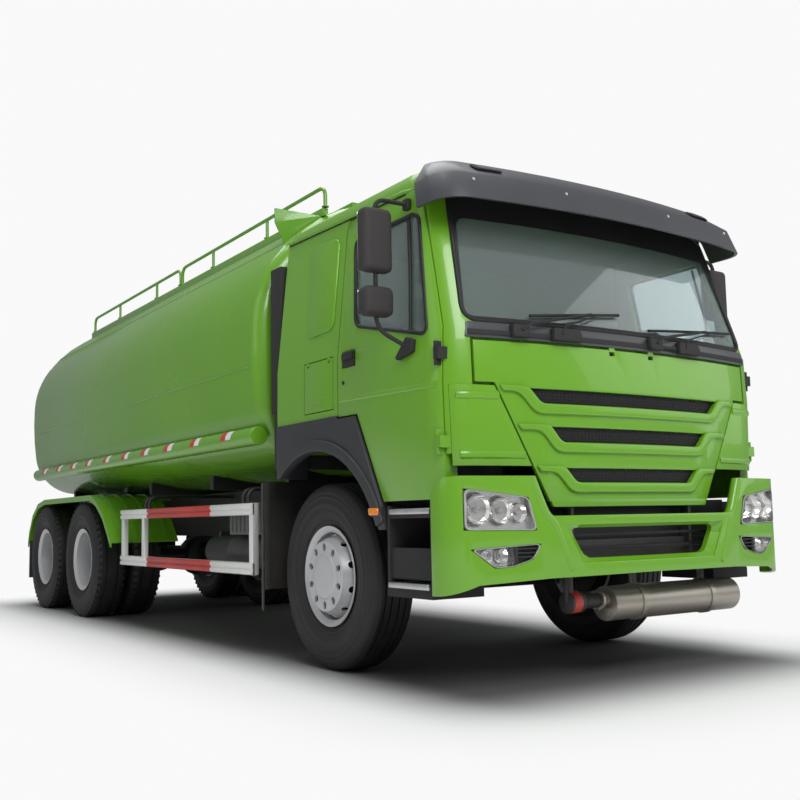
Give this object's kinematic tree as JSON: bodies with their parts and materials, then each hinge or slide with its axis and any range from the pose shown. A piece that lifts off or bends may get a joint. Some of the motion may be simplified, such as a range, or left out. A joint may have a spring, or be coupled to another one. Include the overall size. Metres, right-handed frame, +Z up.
{
  "type": "tanker truck",
  "caption": "Six-by-four tanker truck: tilting cab with doors, front flap and steered wheels, twin rear wheels and a long drum tank with handrails.",
  "frame": {"origin": "on the ground, in the middle of the truck's length and width", "axes": "+Z up, -Y forward (the cab's end), +X to the truck's left"},
  "size_m": [2.86, 8.115, 3.302],
  "materials": {
    "green_paint": "gloss",
    "cab_paint": "gloss",
    "chassis_black": "satin",
    "engine_grey": "satin",
    "guard_white": "satin",
    "lens": "gloss",
    "silencer_steel": "satin",
    "aluminium": "satin",
    "box_grey": "matte",
    "black_plastic": "matte",
    "visor_grey": "satin",
    "flare_grey": "satin",
    "glass": "gloss",
    "seat_fabric": "matte",
    "interior": "matte",
    "tyre": "matte",
    "rim_silver": "satin",
    "mirror_shell": "matte",
    "mudflap_rubber": "matte"
  },
  "bodies": {
    "chassis": {"frame": "chassis_black", "front_axle": "chassis_black", "rear_axles": "chassis_black", "engine": "engine_grey", "driveline": "engine_grey", "radiator": "black_plastic", "bumper": "cab_paint", "lamps": "lens", "steps": "black_plastic", "silencer": "silencer_steel", "side_guards": "guard_white", "battery_box": "box_grey", "air_tanks": "engine_grey", "fuel_tank": "aluminium", "rear_fenders": "green_paint", "mudguards": "mudflap_rubber", "rear_bar": "chassis_black", "tank": "green_paint", "side_tubes": "green_paint", "walkway": "green_paint", "handrails": "green_paint", "discharge_pipe": "green_paint", "air_intake": "black_plastic"},
    "manhole_lid": {"manhole_lid": "green_paint"},
    "cab": {"cab_shell": "cab_paint", "windscreen": "glass", "visor": "visor_grey", "corner_panels": "cab_paint", "arch_flares": "flare_grey", "seats": "seat_fabric", "dashboard": "interior", "steering_wheel": "interior", "wipers": "black_plastic"},
    "grille_flap": {"grille_flap": "cab_paint", "grille_mesh": "black_plastic"},
    "door_right": {"door_right": "cab_paint", "door_glass_right": "glass", "mirror_right": "mirror_shell"},
    "door_left": {"door_left": "cab_paint", "door_glass_left": "glass", "mirror_left": "mirror_shell"},
    "hatch_right": {"hatch_right": "cab_paint"},
    "hatch_left": {"hatch_left": "cab_paint"},
    "knuckle_right": {"knuckle_right": "chassis_black"},
    "knuckle_left": {"knuckle_left": "chassis_black"},
    "tie_rod": {"tie_rod": "chassis_black"},
    "front_wheel_right": {"front_tyre_right": "tyre", "front_rim_right": "rim_silver"},
    "front_wheel_left": {"front_tyre_left": "tyre", "front_rim_left": "rim_silver"},
    "twin_wheel_right_1": {"twin_tyres_right_1": "tyre", "twin_rims_right_1": "rim_silver"},
    "twin_wheel_left_1": {"twin_tyres_left_1": "tyre", "twin_rims_left_1": "rim_silver"},
    "twin_wheel_right_2": {"twin_tyres_right_2": "tyre", "twin_rims_right_2": "rim_silver"},
    "twin_wheel_left_2": {"twin_tyres_left_2": "tyre", "twin_rims_left_2": "rim_silver"}
  },
  "joints": [
    {"name": "cab_tilt", "type": "hinge", "parent": "chassis", "child": "cab", "pos_m": [0, -3.8975, 0.915], "axis": [1, 0, 0], "range_deg": [0, 45]},
    {"name": "grille_flap", "type": "hinge", "parent": "cab", "child": "grille_flap", "pos_m": [0, -3.9475, 1.742], "axis": [-1, 0, 0], "range_deg": [0, 75]},
    {"name": "door_right", "type": "hinge", "parent": "cab", "child": "door_right", "pos_m": [-1.196, -3.7785, 1.5], "axis": [0, 0, 1], "range_deg": [0, 70]},
    {"name": "door_left", "type": "hinge", "parent": "cab", "child": "door_left", "pos_m": [1.196, -3.7785, 1.5], "axis": [0, 0, -1], "range_deg": [0, 70]},
    {"name": "hatch_right", "type": "hinge", "parent": "cab", "child": "hatch_right", "pos_m": [-1.194, -2.5925, 1.799], "axis": [0, 1, 0], "range_deg": [0, 80]},
    {"name": "hatch_left", "type": "hinge", "parent": "cab", "child": "hatch_left", "pos_m": [1.194, -2.5925, 1.799], "axis": [0, -1, 0], "range_deg": [0, 80]},
    {"name": "manhole_lid", "type": "hinge", "parent": "chassis", "child": "manhole_lid", "pos_m": [0, 1.2235, 3.272], "axis": [-1, 0, 0], "range_deg": [0, 100]},
    {"name": "steer_left", "type": "hinge", "parent": "chassis", "child": "knuckle_left", "pos_m": [0.82, -2.5625, 0.5425], "axis": [0, 0, 1], "range_deg": [-35, 35]},
    {"name": "steer_right", "type": "hinge", "parent": "chassis", "child": "knuckle_right", "pos_m": [-0.82, -2.5625, 0.5425], "axis": [0, 0, 1], "range_deg": [-35, 35]},
    {"name": "tie_rod", "type": "hinge", "parent": "knuckle_left", "child": "tie_rod", "pos_m": [0.82, -2.3825, 0.4105], "axis": [0, 0, 1], "range_deg": [-35, 35]},
    {"name": "front_wheel_right", "type": "hinge", "parent": "knuckle_right", "child": "front_wheel_right", "pos_m": [-1.005, -2.5625, 0.5425], "axis": [1, 0, 0], "continuous": true},
    {"name": "front_wheel_left", "type": "hinge", "parent": "knuckle_left", "child": "front_wheel_left", "pos_m": [1.005, -2.5625, 0.5425], "axis": [1, 0, 0], "continuous": true},
    {"name": "twin_wheel_right_1", "type": "hinge", "parent": "chassis", "child": "twin_wheel_right_1", "pos_m": [-0.93, 2.0375, 0.5425], "axis": [1, 0, 0], "continuous": true},
    {"name": "twin_wheel_left_1", "type": "hinge", "parent": "chassis", "child": "twin_wheel_left_1", "pos_m": [0.93, 2.0375, 0.5425], "axis": [1, 0, 0], "continuous": true},
    {"name": "twin_wheel_right_2", "type": "hinge", "parent": "chassis", "child": "twin_wheel_right_2", "pos_m": [-0.93, 3.3875, 0.5425], "axis": [1, 0, 0], "continuous": true},
    {"name": "twin_wheel_left_2", "type": "hinge", "parent": "chassis", "child": "twin_wheel_left_2", "pos_m": [0.93, 3.3875, 0.5425], "axis": [1, 0, 0], "continuous": true}
  ],
  "couplings": [
    {"joint": "steer_right", "follows": "steer_left", "ratio": 1},
    {"joint": "tie_rod", "follows": "steer_left", "ratio": -1}
  ]
}
